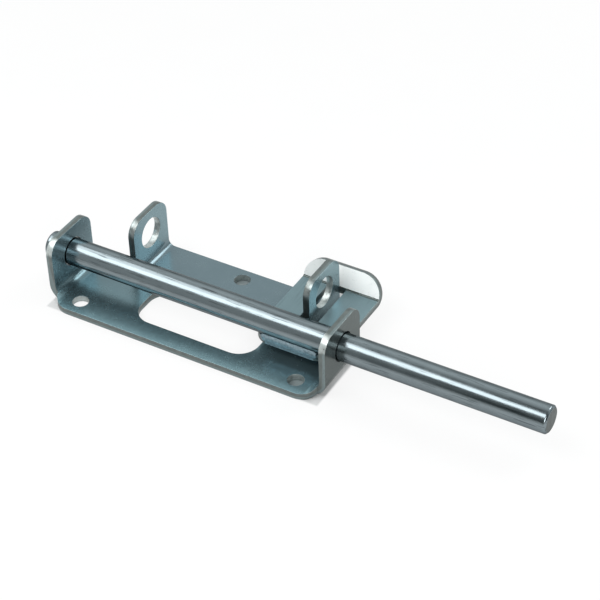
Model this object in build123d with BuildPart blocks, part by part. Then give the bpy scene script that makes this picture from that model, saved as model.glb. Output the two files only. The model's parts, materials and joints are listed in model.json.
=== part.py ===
from build123d import *
from math import asin, cos, degrees, radians, sin, tan
import os

os.makedirs("parts", exist_ok=True)

# Gate bolt latch, all lengths in millimetres.
# Origin: midway between the two front screw holes, on the back face of the base plate.
# +X is the way the bolt is thrown, +Y runs toward the handle, +Z leaves the gate.

# Sheet and bolt stock
sheet = 3.0
rod_d = 12.0

# Base plate outline
base_len = 135.2
base_front_y = -7.2
base_rear_y = 51.4
plan_corner_r = 8.5
plan_corner_inset = 12.0

# Guide ears at the ends of the base plate, with the bolt through them
rod_y = 13.5
rod_z = 16.5
rod_clearance = 0.5
ear_front_y = -1.3
ear_rear_y = 27.2
ear_top_z = 28.9
ear_corner_r = 6.5
ear_bend_inner = 4.5

# Padlock lugs, set in from the ears
lug_inset = 23.1
lug_front_y = 26.2
lug_top_z = 28.8
lug_corner_r = 7.0
lug_bend_inner = 3.0
padlock_hole_r = 7.0
padlock_hole_z = 17.8
bend_relief = 1.5

# Window and screw holes
window_inset = 38.7
window_wid = 23.4
window_corner_r = 9.0
screw_hole_r = 3.6
front_screw_inset = 14.6
rear_screw_margin = 6.4

# Bolt rod: its two ends stand out of the ears
rod_tail = 8.1
rod_reach = 91.2
rod_chamfer = 0.8

# Handle plate
handle_width = 36.2
handle_ear_gap = 2.0
handle_front_y = 9.1
handle_gap = 0.05
handle_corner_r = 8.0
flange_lug_gap = 0.9
flange_lean = 20.0
flange_len = 9.8
flange_bend_inner = 1.0
flange_corner_r = 9.0
slot_side_clearance = 2.8
slot_front_y = 21.8
slot_corner_r = 1.0

# Weld bead along the front edge of the handle plate
bead_inset = 5.0
bead_leg = 0.35
bead_bulge = 0.75
bead_foot = 1.85

# Derived sizes
rod_r = rod_d / 2
guide_hole_r = rod_r + rod_clearance
base_half = base_len / 2
ear_mid_x = base_half - sheet / 2
ear_mid_r = ear_bend_inner + sheet / 2
ear_flat_x = base_half - sheet - ear_bend_inner
plan_corner_x = base_half - plan_corner_inset
ear_drop = plan_corner_r - (ear_front_y - base_front_y)
ear_start_x = plan_corner_x + (plan_corner_r**2 - ear_drop**2) ** 0.5
ear_start_angle = 90 - degrees(asin(ear_drop / plan_corner_r))
lug_outer_x = base_half - lug_inset
lug_mid_x = lug_outer_x - sheet / 2
lug_mid_r = lug_bend_inner + sheet / 2
lug_flat_x = lug_outer_x - sheet - lug_bend_inner
lug_wid = base_rear_y - lug_front_y
lug_y = lug_front_y + lug_wid / 2
strip_rear_y = lug_front_y - bend_relief
slit_y = lug_front_y - bend_relief / 2
window_half_len = base_half - window_inset
front_screw_x = base_half - front_screw_inset
rear_screw_y = base_rear_y - rear_screw_margin
rod_len = rod_tail + base_len + rod_reach
handle_left_x = base_half - sheet - handle_ear_gap - handle_width
handle_top_z = rod_z - rod_r - handle_gap
handle_mid_z = handle_top_z - sheet / 2
handle_low_z = handle_top_z - sheet
flange_inner_y = base_rear_y + flange_lug_gap
flange_turn = radians(flange_lean)
flange_miter = sheet / 2 * tan(radians(45) - flange_turn / 2)
flange_mid_y = flange_inner_y + flange_miter
flange_mid_len = flange_len + flange_miter
slot_wid = sheet + 2 * slot_side_clearance
slot_len = flange_inner_y - slot_front_y
bead_left_x = handle_left_x + bead_inset
bead_len = handle_width - 2 * bead_inset
bead_bore_r = rod_r + handle_gap
bead_rod_y = handle_front_y - bead_leg
bead_top_z = rod_z - (bead_bore_r**2 - (rod_y - bead_rod_y) ** 2) ** 0.5
bead_foot_z = handle_top_z - bead_foot

# Base plate: a bent channel with the two ears, trimmed to its plan outline, and
# a narrower channel behind it that carries the two padlock lugs.
with BuildPart() as base_plate:
    with BuildSketch(Plane.XZ.offset(-base_front_y)):
        with BuildLine():
            FilletPolyline(
                (-ear_mid_x, ear_top_z),
                (-ear_mid_x, sheet / 2),
                (ear_mid_x, sheet / 2),
                (ear_mid_x, ear_top_z),
                radius=ear_mid_r,
            )
        trace(line_width=sheet)
    extrude(amount=base_front_y - ear_rear_y)

    # Plan outline: rounded front corners, ears, and the strip between the slits
    with BuildSketch():
        with BuildLine():
            Line((0, base_front_y), (plan_corner_x, base_front_y))
            CenterArc(
                (plan_corner_x, base_front_y + plan_corner_r),
                plan_corner_r,
                -90,
                ear_start_angle,
            )
            Polyline(
                (ear_start_x, ear_front_y),
                (base_half, ear_front_y),
                (base_half, ear_rear_y),
                (ear_flat_x, ear_rear_y),
                (ear_flat_x, strip_rear_y),
                (lug_flat_x, strip_rear_y),
                (lug_flat_x, ear_rear_y),
                (0, ear_rear_y),
                (0, base_front_y),
            )
        make_face()
        mirror(about=Plane.YZ)
    extrude(amount=ear_top_z, mode=Mode.INTERSECT)
    ear_corners = base_plate.edges().filter_by(Axis.X).group_by(Axis.Z)[-1]
    fillet(ear_corners, radius=ear_corner_r)

    # Rear channel with the lugs
    with BuildSketch(Plane.XZ.offset(-lug_front_y)):
        with BuildLine():
            FilletPolyline(
                (-lug_mid_x, lug_top_z),
                (-lug_mid_x, sheet / 2),
                (lug_mid_x, sheet / 2),
                (lug_mid_x, lug_top_z),
                radius=lug_mid_r,
            )
        trace(line_width=sheet)
    extrude(amount=-lug_wid)
    lug_corners = (
        base_plate.edges()
        .filter_by(Axis.X)
        .filter_by(lambda edge: abs(edge.center().X) < lug_outer_x)
        .group_by(Axis.Z)[-1]
    )
    fillet(lug_corners, radius=lug_corner_r)

    # Guide holes, padlock holes, window and screw holes
    with BuildSketch(Plane.YZ):
        with Locations((rod_y, rod_z)):
            Circle(guide_hole_r)
    extrude(amount=base_half, both=True, mode=Mode.SUBTRACT)
    with BuildSketch(Plane.YZ):
        with Locations((lug_y, padlock_hole_z)):
            Circle(padlock_hole_r)
    extrude(amount=base_half, both=True, mode=Mode.SUBTRACT)
    with BuildSketch():
        with Locations((0, rod_y)):
            RectangleRounded(2 * window_half_len, window_wid, window_corner_r)
        with Locations((-front_screw_x, 0), (front_screw_x, 0), (0, rear_screw_y)):
            Circle(screw_hole_r)
        with Locations((-lug_flat_x, slit_y), (lug_flat_x, slit_y)):
            Circle(bend_relief / 2)
    extrude(amount=sheet, mode=Mode.SUBTRACT)

base_plate.part.label = "base_plate"
export_step(base_plate.part, "parts/base_plate.step")

# Bolt rod: round bar with a chamfer at each end
with BuildPart() as bolt_rod:
    with BuildSketch(Plane.YZ.offset(-base_half - rod_tail)):
        with Locations((rod_y, rod_z)):
            Circle(rod_r)
    extrude(amount=rod_len)
    chamfer(bolt_rod.edges().filter_by(GeomType.CIRCLE), length=rod_chamfer)

bolt_rod.part.label = "bolt_rod"
export_step(bolt_rod.part, "parts/bolt_rod.step")

# Handle plate: bent strip with rounded corners and the slot for a lug
with BuildPart() as handle_plate:
    with BuildSketch(Plane.YZ.offset(handle_left_x)):
        with BuildLine():
            FilletPolyline(
                (handle_front_y, handle_mid_z),
                (flange_mid_y, handle_mid_z),
                (
                    flange_mid_y + flange_mid_len * sin(flange_turn),
                    handle_mid_z + flange_mid_len * cos(flange_turn),
                ),
                radius=flange_bend_inner + sheet / 2,
            )
        trace(line_width=sheet)
    extrude(amount=handle_width)
    front_corners = handle_plate.edges().filter_by(Axis.Z).group_by(Axis.Y)[0]
    fillet(front_corners, radius=handle_corner_r)
    flange_edge = handle_plate.faces().sort_by(Axis.Z)[-1]
    flange_corners = flange_edge.edges().filter_by(Axis.X, reverse=True)
    fillet(flange_corners, radius=flange_corner_r)
    with BuildSketch(Plane.XY.offset(handle_low_z)):
        with Locations((lug_mid_x, slot_front_y + slot_len / 2)):
            slot = Rectangle(slot_wid, slot_len)
        fillet(slot.vertices().group_by(Axis.Y)[0], radius=slot_corner_r)
    extrude(amount=sheet + flange_bend_inner, mode=Mode.SUBTRACT)

handle_plate.part.label = "handle_plate"
export_step(handle_plate.part, "parts/handle_plate.step")

# Weld bead: fills the groove between the rod and the front edge of the plate
with BuildPart() as weld_bead:
    with BuildSketch(Plane.YZ.offset(bead_left_x)):
        with BuildLine():
            ThreePointArc(
                (bead_rod_y, bead_top_z),
                (handle_front_y - bead_bulge, (bead_top_z + bead_foot_z) / 2),
                (handle_front_y, bead_foot_z),
            )
            Polyline(
                (handle_front_y, bead_foot_z),
                (handle_front_y, handle_top_z),
                (rod_y, handle_top_z),
                (rod_y, bead_top_z),
                (bead_rod_y, bead_top_z),
            )
        make_face()
        with Locations((rod_y, rod_z)):
            Circle(bead_bore_r, mode=Mode.SUBTRACT)
    extrude(amount=bead_len)

weld_bead.part.label = "weld_bead"
export_step(weld_bead.part, "parts/weld_bead.step")
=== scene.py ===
# %% [markdown]
# A gate bolt latch is four pieces of plated steel: a bent base plate, a round
# bolt, a slotted handle plate and the weld bead that joins the last two. The
# packed CAD model already has the right sizes and joints, so this lesson only
# dresses it. First the model is loaded.

# %% Load the packed model
import json
import math

import bmesh
import bpy
from mathutils import Matrix, Vector, noise


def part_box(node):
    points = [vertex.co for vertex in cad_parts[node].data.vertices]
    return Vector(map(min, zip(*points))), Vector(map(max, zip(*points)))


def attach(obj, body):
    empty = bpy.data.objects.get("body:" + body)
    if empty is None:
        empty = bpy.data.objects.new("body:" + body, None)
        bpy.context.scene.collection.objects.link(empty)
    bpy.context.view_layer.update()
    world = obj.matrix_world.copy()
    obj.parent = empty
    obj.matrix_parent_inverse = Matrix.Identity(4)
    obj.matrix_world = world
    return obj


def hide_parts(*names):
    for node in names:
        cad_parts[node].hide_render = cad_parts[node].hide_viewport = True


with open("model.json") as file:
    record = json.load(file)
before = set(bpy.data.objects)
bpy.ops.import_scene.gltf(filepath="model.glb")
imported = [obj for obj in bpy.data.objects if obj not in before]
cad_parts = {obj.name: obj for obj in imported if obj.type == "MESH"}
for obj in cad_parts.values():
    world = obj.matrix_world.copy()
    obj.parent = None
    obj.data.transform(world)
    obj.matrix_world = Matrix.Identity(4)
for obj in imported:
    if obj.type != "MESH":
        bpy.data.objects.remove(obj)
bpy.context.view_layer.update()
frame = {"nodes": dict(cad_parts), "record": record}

# %% [markdown]
# The camera comes before any piece, so every later picture can be laid beside
# the photograph. A long lens far away gives the flat perspective of a product
# picture. The direction is written as an azimuth and an elevation, and a small
# roll tips the horizon. The lens is written as its focal length in pixels of a
# picture 600 wide, and turned into millimetres of a 36 mm sensor.

# %% Camera at the photograph's angle
MM = 0.001
PICTURE = 600
SENSOR = 36.0
NEAREST = 0.01


def placed(across, above, out, centre):
    """The matrix that puts an object's x, y and z along three directions, at centre in millimetres."""
    turn = Matrix((across, above, out)).transposed().to_4x4()
    return Matrix.Translation(Vector(centre) * MM) @ turn


def place_camera(aim, azimuth, elevation, roll, distance, focal_px):
    """Looks at aim from azimuth degrees right of the front, in millimetres."""
    a, e, r = (math.radians(v) for v in (azimuth, elevation, roll))
    back = Vector((math.sin(a) * math.cos(e), -math.cos(a) * math.cos(e), math.sin(e)))
    right = (-back).cross(Vector((0, 0, 1))).normalized()
    up = back.cross(right)
    across = math.cos(r) * right + math.sin(r) * up
    above = math.cos(r) * up - math.sin(r) * right
    lens = bpy.data.cameras.new("camera")
    lens.sensor_width = SENSOR
    lens.lens = focal_px * SENSOR / PICTURE
    lens.clip_start = NEAREST
    camera = bpy.data.objects.new("camera", lens)
    camera.matrix_world = placed(across, above, back, Vector(aim) + distance * back)
    bpy.context.scene.collection.objects.link(camera)
    bpy.context.scene.camera = camera
    return camera


camera = place_camera(
    aim=(37.4, 30.8, 16.5), azimuth=31.53, elevation=39.04, roll=-2.0, distance=821.1, focal_px=1990.8
)
stands = [round(v, 3) for v in camera.matrix_world.translation]
print("camera at", stands, "lens", round(camera.data.lens, 1), "mm")

# %% [markdown]
# Plated steel shows its surroundings, so the light is as much a part of the
# finish as the material. One long soft panel hangs level, above and to the left
# of the front, and the rod bends it into the bright stripe along its upper side.
# A weaker wing behind it widens the stripe towards the left. A square panel
# behind to the right is seen by the lug and the ear on the left, by way of the
# base plate in front of them. The last one, low in front to the right, is seen by
# nothing here. It only lights the matt parts, as a white card would.

# %% Soft panel lights
DOWN = (0, 0, -1)


def panel(name, centre, facing, width, length, along, radiance):
    """A rectangular soft light of a given brightness, in millimetres."""
    light = bpy.data.lights.new(name, "AREA")
    light.shape = "RECTANGLE"
    light.size, light.size_y = width * MM, length * MM
    light.energy = radiance * math.pi * light.size * light.size_y
    out = -Vector(facing).normalized()
    side = Vector(along).cross(out).normalized()
    lamp = bpy.data.objects.new(name, light)
    lamp.matrix_world = placed(side, out.cross(side), out, centre)
    bpy.context.scene.collection.objects.link(lamp)
    print(name, "power", round(light.energy, 3), "W")


panel("key_panel", (-185, -269, 516), DOWN, 300, 640, (0.942, -0.335, 0), 3.4)
panel("wing_panel", (-234, -48, 516), DOWN, 200, 500, (0.70, -0.72, 0), 2.1)
panel("rear_panel", (340, 530, 480), (-0.55, -0.65, -0.55), 380, 380, (0.76, -0.65, 0), 4.3)
panel("card_panel", (465, -440, 300), (-0.66, 0.62, -0.42), 360, 360, (0.68, 0.73, 0), 6.0)

# %% [markdown]
# The shader maths below is written as ordinary Python sums. A small class wraps
# one output socket and adds a Math node for each operator, with the reflected
# forms too, so that 1 - mask works. On top of them sit three short words that
# the finishes need again and again: clamp, ramp and within.

# %% A socket that does arithmetic
class Wire:
    """One value flowing through a node tree."""

    def __init__(self, tree, socket):
        self.tree, self.socket = tree, socket

    def math(self, operation, *values):
        node = self.tree.nodes.new("ShaderNodeMath")
        node.operation = operation
        for slot, value in zip(node.inputs, values):
            feed(self.tree, slot, value)
        return Wire(self.tree, node.outputs[0])

    def __add__(self, other):
        return self.math("ADD", self, other)

    def __sub__(self, other):
        return self.math("SUBTRACT", self, other)

    def __rsub__(self, other):
        return self.math("SUBTRACT", other, self)

    def __mul__(self, other):
        return self.math("MULTIPLY", self, other)

    __radd__, __rmul__ = __add__, __mul__

    def clamp(self):
        return self.math("MINIMUM", self.math("MAXIMUM", self, 0.0), 1.0)

    def ramp(self, low, high):
        """0 below low, 1 above high, and a straight line between them."""
        return ((self - low) * (1.0 / (high - low))).clamp()

    def within(self, low, high, soft):
        """1 between low and high, falling to 0 over the width soft outside them."""
        return self.ramp(low - soft, low) * (1.0 - self.ramp(high, high + soft))


def feed(tree, slot, value):
    """Links a wire to a socket, or sets the socket to a plain value."""
    if isinstance(value, Wire):
        tree.links.new(value.socket, slot)
    else:
        slot.default_value = value


print("Wire ready:", [word for word in vars(Wire) if not word.startswith("__")])

# %% [markdown]
# One method makes any other node. Its settings are set first, because some of
# them change which sockets a node has, and its inputs afterwards. The short
# methods under it name the few nodes that every finish uses. Colours go through
# a Mix node, because a Math node would turn them grey.

# %% A finish and its nodes
MIX_AMOUNT, MIX_FIRST, MIX_SECOND, MIX_RESULT = 0, 6, 7, 2


class Finish:
    """A material or world, with one method that makes any node."""

    def __init__(self, owner):
        owner.use_nodes = True
        self.owner, self.tree = owner, owner.node_tree
        self.tree.nodes.clear()

    def node(self, kind, settings=None, inputs=None, output=0):
        made = self.tree.nodes.new(kind)
        for name, value in (settings or {}).items():
            setattr(made, name, value)
        for name, value in (inputs or {}).items():
            feed(self.tree, made.inputs[name], value)
        return Wire(self.tree, made.outputs[output]) if len(made.outputs) else None

    def coords(self, output="Object"):
        return self.node("ShaderNodeTexCoord", output=output)

    def parts(self, vector):
        return [self.node("ShaderNodeSeparateXYZ", inputs={"Vector": vector}, output=axis) for axis in "XYZ"]

    def stretched(self, scale, turn):
        return self.node(
            "ShaderNodeMapping", inputs={"Vector": self.coords(), "Scale": scale, "Rotation": turn}
        )

    def noise(self, vector, scale, detail=2.0, roughness=0.5):
        return self.node(
            "ShaderNodeTexNoise",
            inputs={"Vector": vector, "Scale": scale, "Detail": detail, "Roughness": roughness},
        )

    def blend(self, amount, first, second, how="MIX"):
        return self.node(
            "ShaderNodeMix",
            {"data_type": "RGBA", "blend_type": how},
            {MIX_AMOUNT: amount, MIX_FIRST: first, MIX_SECOND: second},
            output=MIX_RESULT,
        )

    def bump(self, height, distance, strength=1.0):
        return self.node(
            "ShaderNodeBump", inputs={"Strength": strength, "Distance": distance, "Height": height}
        )

    def steel(self, inputs):
        """Ends a material with the shader, and returns the material."""
        surface = self.node("ShaderNodeBsdfPrincipled", inputs=inputs)
        self.node("ShaderNodeOutputMaterial", inputs={"Surface": surface})
        print(self.owner.name, "nodes:", len(self.tree.nodes))
        return self.owner


print("Finish ready:", [word for word in vars(Finish) if not word.startswith("__")])

# %% [markdown]
# The room is a world shader. It reads only the direction that a ray leaves in,
# so the room stands still while the object or the camera turns. It is pale all
# round and brightest on the wall behind. In front, from the middle to the right,
# it is dim, as a studio is behind the camera, and less so higher up. That gives
# the bare end of the bolt the dark stripe under its bright one.

# %% The pale room
ROOM_DARK, ROOM_BRIGHT = (0.02, 0.03, 0.03, 1), (1.06, 1.10, 1.10, 1)
ROOM_LEVEL, WALL_EXTRA, GLOOM_DEPTH = 0.53, 0.43, 0.50
room = Finish(bpy.data.worlds.new("pale_room"))
bpy.context.scene.world = room.owner
along_x, along_y, along_z = room.parts(room.coords("Generated"))
back_wall = along_y.ramp(0.15, 0.6) * along_z.ramp(0.25, 0.6)
camera_side = along_x.ramp(-0.42, -0.32) * (1.0 - along_y.ramp(0.0, 0.25)) * along_z.ramp(-0.03, 0.06)
gloom = camera_side * (1.0 - along_z.ramp(0.28, 0.45) * 0.25 - along_z.ramp(0.6, 0.9) * 0.25)
room_level = ROOM_LEVEL + back_wall * WALL_EXTRA - gloom * GLOOM_DEPTH
room_colour = room.blend(room_level, ROOM_DARK, ROOM_BRIGHT)
glow = room.node("ShaderNodeBackground", inputs={"Color": room_colour, "Strength": 1.0})
room.node("ShaderNodeOutputWorld", inputs={"Surface": glow})
print("room nodes:", len(room.tree.nodes))

# %% [markdown]
# The floor is painted pale and mixed with plain white, so it looks like the
# white ground of the photograph. First come the places with no white in them:
# under the plate and the handle, and a soft spot behind the slot, because what
# shows through the slot is in full shadow. In the photograph the left screw hole
# shows white and the other two show a darker ground, so the paint is darker
# under those two. The screw holes' places come from the packed record.

# %% Where the latch covers the floor
UNDER_HOLE = 0.006
HOLE_SOFT = 0.0005
mounts = {mount["name"]: mount for mount in frame["record"]["mounts"]}
screw_x = mounts["front_screws"]["dims"]["spacing_x_mm"] / 2 * MM
rear_screw_y = mounts["rear_screw"]["pos_m"][1]
paper = Finish(bpy.data.materials.new("floor_paint"))
floor_x, floor_y, _ = paper.parts(paper.coords())


def patch(x_from, x_to, y_from, y_to, soft=0.001):
    """1 on a rectangle of the floor, in metres, falling to 0 round it."""
    return floor_x.within(x_from, x_to, soft) * floor_y.within(y_from, y_to, soft)


def around(x, y):
    """1 on the floor under a screw hole at x and y, in metres."""
    ends = {0: paper.coords(), 1: (x, y, 0)}
    far = paper.node("ShaderNodeVectorMath", {"operation": "DISTANCE"}, ends, output="Value")
    return 1.0 - far.ramp(UNDER_HOLE - HOLE_SOFT, UNDER_HOLE)


under_strip = patch(-0.066, 0.066, -0.006, 0.024)
under_handle = patch(-0.047, 0.057, 0.024, 0.050)
in_window = patch(-0.030, 0.030, 0.001, 0.026)
under_flange = patch(0.024, 0.057, 0.050, 0.060)
behind_slot = patch(0.037, 0.042, 0.056, 0.062, soft=0.004)
shaded = (under_strip + under_handle + under_flange + behind_slot).clamp()
covered = shaded * (1.0 - in_window) * (1.0 - around(-screw_x, 0.0))
# Painted shade: the paint under the right and rear screw holes is darker, for the shade inside those holes.
painted_hole_shade = (around(screw_x, 0.0) + around(0.0, rear_screw_y)).clamp()
print("screw holes at x = +-", round(screw_x, 4), "and y =", round(rear_screw_y, 4))

# %% [markdown]
# Where the camera looks at the floor it is mostly plain white, so the shadow
# stays but is faint. Mirror-like surfaces see some of that white too. The paint
# in front is darker, a painted shade, and the camera sees more white over it, so
# it shows only in reflections: it is the dark ground that the lower side of the
# bolt mirrors.

# %% Floor paint
CAMERA_WHITE, FRONT_WHITE, MIRROR_WHITE = 0.8, 0.98, 0.3
FRONT_SHADE_PAINT = (0.36, 0.36, 0.35, 1)
HOLE_SHADE_PAINT = (0.225, 0.265, 0.272, 1)
camera_ray = paper.node("ShaderNodeLightPath", output="Is Camera Ray")
glossy_ray = paper.node("ShaderNodeLightPath", output="Is Glossy Ray")
clear_ray = paper.node("ShaderNodeLightPath", output="Is Transmission Ray")
# Painted shade in front of the latch, seen only in reflections.
front = 1.0 - floor_y.ramp(-0.130, -0.030)
looked_at = camera_ray * (front * (FRONT_WHITE - CAMERA_WHITE) + CAMERA_WHITE)
mirrored = (glossy_ray + clear_ray) * (1.0 - front) * MIRROR_WHITE
whiteness = (looked_at + mirrored).clamp() * (1.0 - covered)
paint_colour = paper.blend(paper.noise(paper.coords(), 40.0), (0.66, 0.66, 0.66, 1), (0.70, 0.70, 0.70, 1))
paint_colour = paper.blend(front, paint_colour, FRONT_SHADE_PAINT)
# Painted shade under the right and rear screw holes.
paint_colour = paper.blend(painted_hole_shade, paint_colour, HOLE_SHADE_PAINT)
paint = paper.node("ShaderNodeBsdfPrincipled", inputs={"Base Color": paint_colour, "Roughness": 0.9})
white = paper.node("ShaderNodeEmission", inputs={"Color": (1, 1, 1, 1), "Strength": 1.04})
mixed = paper.node("ShaderNodeMixShader", inputs={0: whiteness, 1: paint, 2: white})
paper.node("ShaderNodeOutputMaterial", inputs={"Surface": mixed})
print("floor paint nodes:", len(paper.tree.nodes))

# %% [markdown]
# The sheet itself is one square of a grid, six metres wide. It lies a fifth of a
# millimetre under the base plate, so the two never share a plane. A helper turns
# a bmesh into an object with its finishes, and every piece below uses it too.

# %% The floor sheet
FLOOR_HALF = 3.0
FLOOR_GAP = 0.0002


def finished(work, name, finishes):
    """Turns a bmesh into an object of the scene, and says how many faces it has."""
    mesh = bpy.data.meshes.new(name)
    work.to_mesh(mesh)
    work.free()
    for finish in finishes:
        mesh.materials.append(finish)
    made = bpy.data.objects.new(name, mesh)
    bpy.context.scene.collection.objects.link(made)
    print(name, len(mesh.polygons), "faces")
    return made


floor_work = bmesh.new()
bmesh.ops.create_grid(floor_work, x_segments=1, y_segments=1, size=FLOOR_HALF)
bmesh.ops.translate(floor_work, verts=floor_work.verts, vec=(0, 0, -FLOOR_GAP))
floor = finished(floor_work, "floor", [paper.owner])

# %% [markdown]
# Bright zinc on steel is a cool grey half-mirror under a thin passive film. The
# film scatters a little light, so the surface isn't all metal, and a place that
# mirrors something dark still isn't black. Up close it is faintly cloudy and
# streaked, with tiny pits and fine scores from the mill. Colour, roughness and
# bump each vary from a noise of their own. One function makes every plated
# finish, because they differ only in its numbers.

# %% Plated steel
CLOUDED, STREAKED, SCORED = (0.35, 0.68), (0.3, 0.7), (0.60, 0.68)
SCORES_FINER = 2.6
WORN = 0.45
THIN_AND_SHADE_TINT, GREYED = (0.62, 0.62, 0.63, 1), (0.985, 0.88, 0.885, 1)


def metal(
    name, colour, dark, roughness, spread, cloud_scale, streak, bump_scale, bump_height,
    film=0.0, lines=0.0, stretch=(1, 1, 1), turn=(0, 0, 0), thin=None, rim=1.0,
):
    """Plated steel: colour to dark by clouds and streaks, roughness by both, a fine bump.

    film is the share that isn't metal, and lines is how strong the scores are.
    stretch and turn lay the grain, thin says where the plating is thinner and
    where shade is painted, and a rim below 1 dims the mirror where the surface
    turns away.
    """
    skin = Finish(bpy.data.materials.new(name))
    grained = skin.stretched(stretch, turn)
    clouds = skin.noise(skin.coords(), cloud_scale, 4.0, 0.6).ramp(*CLOUDED)
    streaks = skin.noise(grained, streak, 5.0, 0.65).ramp(*STREAKED)
    scores = skin.noise(grained, streak * SCORES_FINER, 2.0, 0.5).ramp(*SCORED)
    tone = skin.blend(clouds * 0.5 + streaks * 0.5, dark, colour)
    tone = skin.blend(scores * lines, tone, (*(WORN * c for c in dark[:3]), 1))
    # Where thin says, the tone is darkened: thinner plating and painted shade.
    if thin:
        thinned_and_shaded, greyed = thin(skin)
        tone = skin.blend(thinned_and_shaded, tone, THIN_AND_SHADE_TINT, "MULTIPLY")
        tone = skin.blend(greyed, tone, GREYED, "MULTIPLY")
    gloss = streaks * spread + clouds * (spread * 0.5) + (roughness - spread * 0.75)
    pits = skin.noise(grained, bump_scale, 3.0, 0.55)
    return skin.steel({
        "Base Color": tone,
        "Metallic": 1.0 - film,
        "Roughness": gloss,
        "Specular Tint": (rim, rim, rim, 1),
        "Normal": skin.bump(pits, bump_height),
    })


# %% [markdown]
# On the base plate the sheet keeps its full colour along the front edge. From
# under the bolt backwards it is darker, the faces of the ears are darker and the
# lugs less so, and behind the bolt it is also greyer. The darkening is partly
# thinner plating and partly painted shade, under and behind the bolt and on the
# ears' faces. The handle's strip is other stock, less glossy, with one finish all
# over and its grain at a slant.

# %% Zinc on sheet
def thin_plating_and_painted_shade(skin):
    """How much the sheet is darkened, by thinner plating and painted shade, and how far it has gone grey,
    from 0 to 1.
    """
    _, y, z = skin.parts(skin.coords())
    upright = z.ramp(0.004, 0.009)
    flat = 1.0 - upright
    # Painted shade with thinner plating: darker from under the bolt backwards and on the ears.
    thinned_and_shaded = y.ramp(-0.005, 0.003) * flat + upright * (0.85 - y.ramp(0.025, 0.030) * 0.43)
    greyed = y.ramp(0.012, 0.028) * flat + upright * 0.42
    return thinned_and_shaded, greyed


zinc_sheet = metal(
    "zinc_sheet", (0.273, 0.416, 0.453, 1), (0.220, 0.347, 0.381, 1),
    roughness=0.25, spread=0.08, cloud_scale=45.0, streak=300.0,
    bump_scale=420.0, bump_height=0.0000018, film=0.20, thin=thin_plating_and_painted_shade,
)
zinc_strip = metal(
    "zinc_strip", (0.196, 0.282, 0.308, 1), (0.160, 0.234, 0.256, 1),
    roughness=0.34, spread=0.10, cloud_scale=60.0, streak=300.0,
    bump_scale=420.0, bump_height=0.000003, film=0.24, lines=0.25,
    stretch=(1, 0.08, 1), turn=(0, 0, 0.35),
)

# %% [markdown]
# The outer faces of the ears are duller and greyer. Their darker colour is
# painted shade, for the floor in their shade that they mirror. The same finish
# paints the shade into the crease under the handle's flange.

# %% Painted shade on the outside of the ears
zinc_painted_shade = metal(
    "zinc_painted_shade", (0.100, 0.124, 0.120, 1), (0.074, 0.093, 0.090, 1),
    roughness=0.24, spread=0.10, cloud_scale=90.0, streak=420.0,
    bump_scale=520.0, bump_height=0.000006, film=0.20, lines=0.2,
    stretch=(1, 1, 0.25),
)

# %% [markdown]
# Where the press cut the sheet, the edge shows how it was cut. The punch first
# shears a smooth, brighter band, and then the rest tears, which leaves it duller
# and browner. Each piece below carries a depth attribute, 0 on the side where
# the punch came in and 1 on the other. A second attribute, corner, says how
# thick and pale the plating is. It builds up on the rounded outside corners of
# the ears and lugs and in the holes, and it is pale and crusty there. That pale
# colour also paints in the highlight on the corners and the light in the holes.

# %% Zinc on a sheared edge
def cut_edge(name):
    skin = Finish(bpy.data.materials.new(name))
    depth = skin.node("ShaderNodeAttribute", {"attribute_name": "depth"}, output="Fac")
    corner = skin.node("ShaderNodeAttribute", {"attribute_name": "corner"}, output="Fac")
    ragged = skin.noise(skin.coords(), 420.0, 4.0, 0.65)
    grain = skin.noise(skin.coords(), 1100.0, 3.0, 0.6)
    torn = (depth + ragged * 0.5 - 0.25).ramp(0.34, 0.46)
    # Pale crusty plating, which also paints the corner highlights and the light in the holes.
    crust_and_painted_light = (corner * 1.25 - ragged.ramp(0.45, 0.75) * 0.55).clamp()
    sheared = skin.blend(grain, (0.165, 0.205, 0.208, 1), (0.245, 0.295, 0.298, 1))
    rough = skin.blend(ragged.ramp(0.3, 0.7), (0.130, 0.150, 0.148, 1), (0.200, 0.225, 0.218, 1))
    height = (ragged * 0.6 + grain * 0.4) * (torn * 0.7 + 0.3)
    return skin.steel({
        "Base Color": skin.blend(crust_and_painted_light, skin.blend(torn, sheared, rough), (0.64, 0.69, 0.68, 1)),
        "Metallic": 0.95 - crust_and_painted_light * 0.25,
        "Roughness": torn * 0.10 + grain * 0.10 + 0.24,
        "Normal": skin.bump(height, 0.00004),
    })


zinc_edge = cut_edge("zinc_edge")

# %% [markdown]
# The bolt is drawn bar: brighter, with long fine streaks along it from the die.
# Its two ends were cropped, so they are dull and lined, and their darker colour
# is partly thin plating and partly painted shade.

# %% Zinc on drawn bar and on its cropped ends
zinc_bar = metal(
    "zinc_bar", (0.262, 0.306, 0.324, 1), (0.204, 0.242, 0.260, 1),
    roughness=0.18, spread=0.09, cloud_scale=70.0, streak=700.0,
    bump_scale=1600.0, bump_height=0.000016, lines=0.85,
    stretch=(0.05, 1, 1), rim=0.45,
)
zinc_end_and_shade = metal(
    "zinc_end_and_shade", (0.092, 0.110, 0.106, 1), (0.068, 0.082, 0.079, 1),
    roughness=0.40, spread=0.12, cloud_scale=260.0, streak=900.0,
    bump_scale=1300.0, bump_height=0.000030, film=0.10, lines=0.5,
    stretch=(1, 1, 0.15), turn=(0.5, 0, 0),
)

# %% [markdown]
# The weld bead froze in lumps, so its plating is mottled and scatters light.

# %% Zinc on the weld
zinc_weld = metal(
    "zinc_weld", (0.42, 0.53, 0.58, 1), (0.15, 0.22, 0.26, 1),
    roughness=0.36, spread=0.14, cloud_scale=1100.0, streak=1500.0,
    bump_scale=1300.0, bump_height=0.00007, film=0.18,
)

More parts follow.
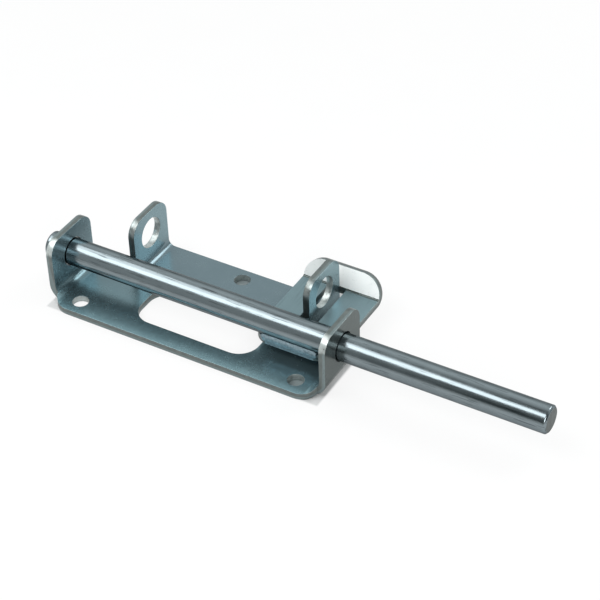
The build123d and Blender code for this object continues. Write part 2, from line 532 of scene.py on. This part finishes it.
# %% [markdown]
# The inside of the flange is almost white, and it stays white where a mirror
# could only show the dark bolt in front of it. This finish paints that
# brightness in as a painted highlight: mostly a matt white, not metal, like the
# pale, chalky bloom that fresh zinc gets where it dries last, with the zinc
# showing through in specks.

# %% Painted highlight on the flange, a matt white
# Paints the flange's highlight in as a matt white with specks of zinc.
def white_highlight(name):
    skin = Finish(bpy.data.materials.new(name))
    patches = skin.noise(skin.coords(), 160.0, 5.0, 0.7).ramp(0.45, 0.75)
    specks = skin.noise(skin.coords(), 900.0, 2.0, 0.5).ramp(0.62, 0.74)
    bare = (patches * 0.09 + specks * 0.22).clamp()
    return skin.steel({
        "Base Color": skin.blend(bare, (0.955, 0.985, 0.975, 1), (0.42, 0.50, 0.51, 1)),
        "Metallic": bare,
        "Roughness": 0.55 - bare * 0.2,
        "Normal": skin.bump(patches, 0.00002, strength=0.6),
    })


zinc_painted_highlight = white_highlight("zinc_painted_highlight")

# %% [markdown]
# A pressed sheet has no razor-sharp corners: the punch rolls one side over and
# the plating rounds the other. A thin bright line along every edge shows it.
# The CAD mesh is copied, merged, cleaned to whole flats, and its sharp edges are
# bevelled by a quarter of a millimetre. Each face gets its finish before that,
# while the flats are whole, and each point gets its two attributes afterwards.

# %% Soften the edges of a sheet piece
SHEET = 3.0
ROUNDING = 0.25
SAME_POINT = 2e-6
FLAT, SHARP = math.radians(0.4), math.radians(50)
LARGE_FACE = (1.2 * MM) ** 2
BROAD, CUT, OTHER, CREASE, WELDED = range(5)


def softened(node, finish_at, depth_at, crust_and_light_at, finishes):
    """A copy of a CAD sheet piece with small round edges, its finishes and its two attributes."""
    work = bmesh.new()
    work.from_mesh(frame["nodes"][node].data)
    bmesh.ops.remove_doubles(work, verts=work.verts, dist=SAME_POINT)
    bmesh.ops.dissolve_limit(work, angle_limit=FLAT, verts=work.verts, edges=work.edges)
    for face in work.faces:
        face.material_index = finish_at(face.normal, face.calc_center_median() / MM)
    sharp = [e for e in work.edges if len(e.link_faces) == 2 and e.calc_face_angle(0) > SHARP]
    bmesh.ops.bevel(
        work, geom=sharp, affect="EDGES", offset=ROUNDING * MM, offset_type="OFFSET",
        segments=3, profile=0.5, clamp_overlap=True, material=-1,
    )
    for face in work.faces:
        square = max(abs(c) for c in face.normal) > 0.99999
        face.smooth = not (square and face.calc_area() > LARGE_FACE)
    depth = work.verts.layers.float.new("depth")
    corner = work.verts.layers.float.new("corner")
    for vert in work.verts:
        vert[depth] = depth_at(vert.co / MM) / SHEET
        vert[corner] = crust_and_light_at(vert.co / MM)
    print(node, len(sharp), "sharp edges rounded")
    return finished(work, node + "_finished", finishes)


# %% [markdown]
# The base plate: a face is broad sheet where it looks straight up or down on
# the flat, sideways on an ear or a lug, or anywhere between on a bend. All
# other faces are cut edges. The outside of an ear has its own duller finish,
# whose darker colour is painted shade.

# %% Which faces of the base plate are sheet
EAR_OUTER, EAR_BEND = 67.6, 7.5
LUG_OUTER, LUG_BEND, LUG_FRONT = 44.5, 6.0, 26.0
BEND_START, MIDWAY = 38, 50
JUST_ABOVE = SHEET + 0.1
STRAIGHT, TILTED, TURNED = 0.99, 0.03, 0.05


def base_finish(normal, centre):
    if abs(normal.y) > TURNED:
        return CUT
    across = abs(centre.x)
    tilted = abs(normal.z) > TILTED and abs(normal.x) > TILTED
    flat = abs(normal.z) > STRAIGHT and centre.z < JUST_ABOVE
    bend = tilted and across > BEND_START and centre.z < EAR_BEND
    upright = abs(normal.x) > STRAIGHT and centre.z > JUST_ABOVE
    if (bend or upright) and across > MIDWAY and normal.x * centre.x > 0:
        return OTHER
    return BROAD if flat or bend or upright else CUT


print("bends start at x =", round(EAR_OUTER - EAR_BEND, 1), "and", LUG_OUTER - LUG_BEND, "mm")

# %% [markdown]
# Its depth is measured inwards from the back face, round the bends and up the
# outside of the ears and lugs, as if the sheet were still flat.

# %% How deep in the base plate a point lies
def base_depth(point):
    across = abs(point.x)
    on_lug = point.y > LUG_FRONT and across < MIDWAY
    outer, bend = (LUG_OUTER, LUG_BEND) if on_lug else (EAR_OUTER, EAR_BEND)
    flat_end = outer - bend
    if across < flat_end:
        return point.z
    if point.z > bend:
        return outer - across
    return bend - math.hypot(across - flat_end, point.z - bend)


print("depth on the ear's outside:", round(base_depth(Vector((EAR_OUTER, 0, 20))), 3), "mm")

# %% [markdown]
# Plating builds up where the bath's current crowds: halfway round the rounded
# front corners of the ears, less on the lugs, and on the walls of the holes. Its
# pale colour there is also a painted highlight on the corners and painted light
# in the holes. A corner is written as the y and z of its centre and how thick the
# plating gets.

# %% Where the plating is thick and light is painted
EAR_CORNER = (5.2, 22.4, 0.85)
LUG_CORNER = (33.2, 21.8, 0.3)
CORNER_SPREAD = 1.6
HOLE_CRUST_AND_LIGHT = 0.55
HOLE_RIM = 0.6
padlock_hole = Vector(mounts["padlock_hole_closed"]["pos_m"]) / MM
padlock_reach = mounts["padlock_hole_closed"]["dims"]["r_mm"] + HOLE_RIM
screw_reach = mounts["rear_screw"]["dims"]["r_mm"] + HOLE_RIM
screw_holes = [Vector(place) / MM for place in ((-screw_x, 0), (screw_x, 0), (0, rear_screw_y))]


def on_hole_wall(point):
    """True on the wall of a screw hole or a padlock hole, and on its rim."""
    if point.z < JUST_ABOVE and min((point.xy - hole).length for hole in screw_holes) < screw_reach:
        return True
    beside = abs(abs(point.x) - padlock_hole.x) < SHEET
    return point.y > LUG_FRONT and beside and (point - padlock_hole).yz.length < padlock_reach


def base_crust_and_light(point):
    """How thick and pale the plating is, painted highlight and light included, from 0 to 1."""
    if on_hole_wall(point):
        return HOLE_CRUST_AND_LIGHT
    corner_y, corner_z, crust_and_painted_light = LUG_CORNER if point.y > LUG_FRONT else EAR_CORNER
    if point.y > corner_y or point.z < corner_z:
        return 0.0
    climb = math.atan2(point.z - corner_z, corner_y - point.y)
    return crust_and_painted_light * min(1.0, CORNER_SPREAD * math.sin(2 * climb)) if climb > 0 else 0.0


print("screw holes at", [tuple(round(v, 1) for v in hole) for hole in screw_holes], "mm")

# %% [markdown]
# With the three rules ready, one call makes the plate. It replaces the plain CAD
# plate, rides on the base, and has the plated sheet as its first finish.

# %% Base plate
base = softened("base_plate", base_finish, base_depth, base_crust_and_light, [zinc_sheet, zinc_edge, zinc_painted_shade])
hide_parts("base_plate")
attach(base, "base")

# %% [markdown]
# The handle plate is bent sheet too, so the same steps make it. Its flange leans
# back twenty degrees. The flange's inner face is found by its normal, and it
# gets the matt white of the painted highlight, and the crease under it the
# duller finish of painted shade. The front edge, where the weld ran down, gets
# the weld's finish. The depth here runs from the upper face to the lower.

# %% Handle plate
LEAN = math.radians(20)
BEND_TOP, HANDLE_FRONT = 11.5, 10.0
flange_foot = Vector((0, 52.3, 10.45))
flange_normal = Vector((0, -math.cos(LEAN), math.sin(LEAN)))


def handle_finish(normal, centre):
    if normal.dot(flange_normal) > STRAIGHT and centre.z > flange_foot.z:
        return OTHER
    if normal.y < -STRAIGHT and centre.y < HANDLE_FRONT:
        return WELDED
    if abs(normal.x) > TURNED:
        return CUT
    flat = abs(normal.z) > STRAIGHT and centre.y < flange_foot.y
    flange_back = normal.dot(flange_normal) < -STRAIGHT
    bend = centre.y > flange_foot.y - SHEET and normal.y * normal.z < 0 and centre.z < BEND_TOP
    # Painted shade: the crease under the flange gets the darker finish.
    if bend and normal.z > 0:
        return CREASE
    return BROAD if flat or flange_back or bend else CUT


def handle_depth(point):
    on_strip = point.z < BEND_TOP and point.y < flange_foot.y + SHEET
    under_strip_top = flange_foot.z - point.z if on_strip else 0.0
    behind_flange = (flange_foot - point).dot(flange_normal) if point.y > flange_foot.y else 0.0
    return max(under_strip_top, behind_flange)


def handle_crust_and_light(point):
    """The handle has no thick plating and no painted highlight anywhere."""
    return 0.0


handle_finishes = [zinc_strip, zinc_edge, zinc_painted_highlight, zinc_painted_shade, zinc_weld]
handle = softened("handle_plate", handle_finish, handle_depth, handle_crust_and_light, handle_finishes)
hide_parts("handle_plate")
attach(handle, "handle")

# %% [markdown]
# The bolt is spun from a short profile: the flat end, a chamfer whose own two
# edges are eased, and the long straight side. A second point a little way along
# the side, the shoulder, keeps its shading level right up to the chamfer. A full
# spin with use_merge closes the last gap, and many steps keep the bright stripe
# straight.

# %% Bolt
CHAMFER, SOFT = 0.8, 0.18
SIDE_START = CHAMFER + SOFT
END_EASE, SIDE_EASE, SIDE_DROP = 0.06, 0.12, 0.10
SHOULDER = 0.25
SPIN_STEPS = 160


def spin_rod():
    low, high = (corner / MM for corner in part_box("bolt_rod"))
    length = high.x - low.x
    radius = (high.z - low.z) / 2
    axis_y, axis_z = (high.y + low.y) / 2, (high.z + low.z) / 2
    half = [
        (0.0, 0.0),
        (0.0, radius - SIDE_START),
        (END_EASE, radius - CHAMFER),
        (CHAMFER - SIDE_EASE, radius - SIDE_DROP),
        (SIDE_START, radius),
        (SIDE_START + SHOULDER, radius),
    ]
    profile = half + [(length - x, r) for x, r in reversed(half)]
    work = bmesh.new()
    points = [work.verts.new(((low.x + x) * MM, axis_y * MM, (axis_z + r) * MM)) for x, r in profile]
    edges = [work.edges.new(pair) for pair in zip(points, points[1:])]
    bmesh.ops.spin(
        work, geom=points + edges, cent=(0, axis_y * MM, axis_z * MM), axis=(1, 0, 0),
        angle=2 * math.pi, steps=SPIN_STEPS, use_merge=True,
    )
    bmesh.ops.remove_doubles(work, verts=work.verts, dist=1e-6)
    bmesh.ops.recalc_face_normals(work, faces=work.faces)
    for face in work.faces:
        end = abs(face.normal.x) > STRAIGHT
        face.smooth, face.material_index = not end, int(end)
    print("bolt length", round(length, 2), "mm")
    return work


rod = finished(spin_rod(), "bolt_rod_finished", [zinc_bar, zinc_end_and_shade])
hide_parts("bolt_rod")
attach(rod, "bolt")

# %% [markdown]
# The weld bead was laid in short steps, so its face is a row of overlapping
# ripples with lumps between. One face with the bead's section is drawn first: an
# arc for the front, and three points that close it in the groove behind, where
# the bolt and the plate hide it. It is extruded along the bolt and cut into many
# rings, and each ring keeps a number, turn, that says how far round the arc a
# point lies.

# %% Weld bead, smooth
RINGS, ROUND = 160, 13
IN_GROOVE = -1.0
END_MARGIN, MARGIN = 0.05, 0.02
bead_low, bead_high = (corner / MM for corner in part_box("weld_bead"))
bead_start = bead_low.x + END_MARGIN
bead_length = bead_high.x - bead_low.x - 2 * END_MARGIN
bead_top, bead_foot = Vector((8.76, 12.74)), Vector((9.08, bead_low.z + MARGIN))
bead_front = Vector((bead_low.y + MARGIN, 10.7))
groove = [Vector((9.10, 10.42)), Vector((12.6, 10.47)), Vector((10.2, 11.45))]


def on_arc(t):
    """The point of the bead's front, from its top at 0 to its foot at 1."""
    pull = 2 * bead_front - (bead_top + bead_foot) / 2
    return (1 - t) ** 2 * bead_top + 2 * t * (1 - t) * pull + t * t * bead_foot


def smooth_bead():
    work = bmesh.new()
    turn = work.verts.layers.float.new("turn")
    steps = [j / (ROUND - 1) for j in range(ROUND)]
    section = [on_arc(t) for t in steps] + groove
    ring = [work.verts.new(Vector((bead_start, *place)) * MM) for place in section]
    for vert, t in zip(ring, steps + [IN_GROOVE] * len(groove)):
        vert[turn] = t
    made = bmesh.ops.extrude_face_region(work, geom=[work.faces.new(ring)])
    far = [part for part in made["geom"] if isinstance(part, bmesh.types.BMVert)]
    bmesh.ops.translate(work, verts=far, vec=(bead_length * MM, 0, 0))
    long_edges = [e for e in work.edges if abs(e.verts[0].co.x - e.verts[1].co.x) > MM]
    bmesh.ops.subdivide_edges(work, edges=long_edges, cuts=RINGS - 1, use_grid_fill=True)
    bmesh.ops.recalc_face_normals(work, faces=work.faces)
    return work, turn


bead_work, bead_turn = smooth_bead()
print("bead blank:", len(bead_work.verts), "points")

# %% [markdown]
# Then every point is moved a little: out by the ripples and the lumps, which
# fade at the bolt and at the plate, and in towards the groove near the two ends,
# where the bead started and stopped. Large and small lumps are read from the same
# noise: the first two numbers say how fine they are along the bead and round its
# arc, and the third says where the noise is cut, so that the two differ.

# %% Weld bead, rippled
RIPPLE, SLANT, END = 1.9, 0.55, 1.6
RIPPLE_HEIGHT, LUMP_HEIGHT, SUNK = 0.10, 0.16, 0.06
LARGE_LUMPS, SMALL_LUMPS = (0.8, 2.4, 3.1), (2.1, 5.0, 7.7)
END_FULLNESS = 0.55
outward = Vector((-1.0, 0.4))
downward = Vector((0.0, 1.0))


def lumps(x, t, fineness):
    """A smooth noise at x millimetres along the bead and t round its arc."""
    along, round_arc, cut_at = fineness
    return noise.noise(Vector((x * along, t * round_arc, cut_at)))


def ripple_bead(work, turn):
    for vert in work.verts:
        t, x = vert[turn], vert.co.x / MM
        if t < 0:
            continue
        along = (x - bead_start) / bead_length
        near_end = min(1.0, min(along, 1 - along) * bead_length / END)
        full = math.sqrt(max(0.0, 1 - (1 - near_end) ** 2))
        wave = math.sin(2 * math.pi * (x / RIPPLE + SLANT * t * t)) * 0.5 + 0.5
        lump = lumps(x, t, LARGE_LUMPS) + 0.5 * lumps(x, t, SMALL_LUMPS)
        lift = math.sin(math.pi * t) * (RIPPLE_HEIGHT * wave + LUMP_HEIGHT * lump - SUNK) * full
        reach = END_FULLNESS + (1 - END_FULLNESS) * full
        place = groove[0].lerp(on_arc(t), reach) + (outward - t * downward) * lift
        vert.co = Vector((x, *place)) * MM
    for face in work.faces:
        face.smooth = len(face.verts) == 4


ripple_bead(bead_work, bead_turn)
bead = finished(bead_work, "weld_bead_finished", [zinc_weld])
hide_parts("weld_bead")
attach(bead, "handle")

# %% [markdown]
# Last, the picture settings. The Standard view shows a colour as it is written.

# %% Finish
bpy.context.scene.view_settings.view_transform = "Standard"
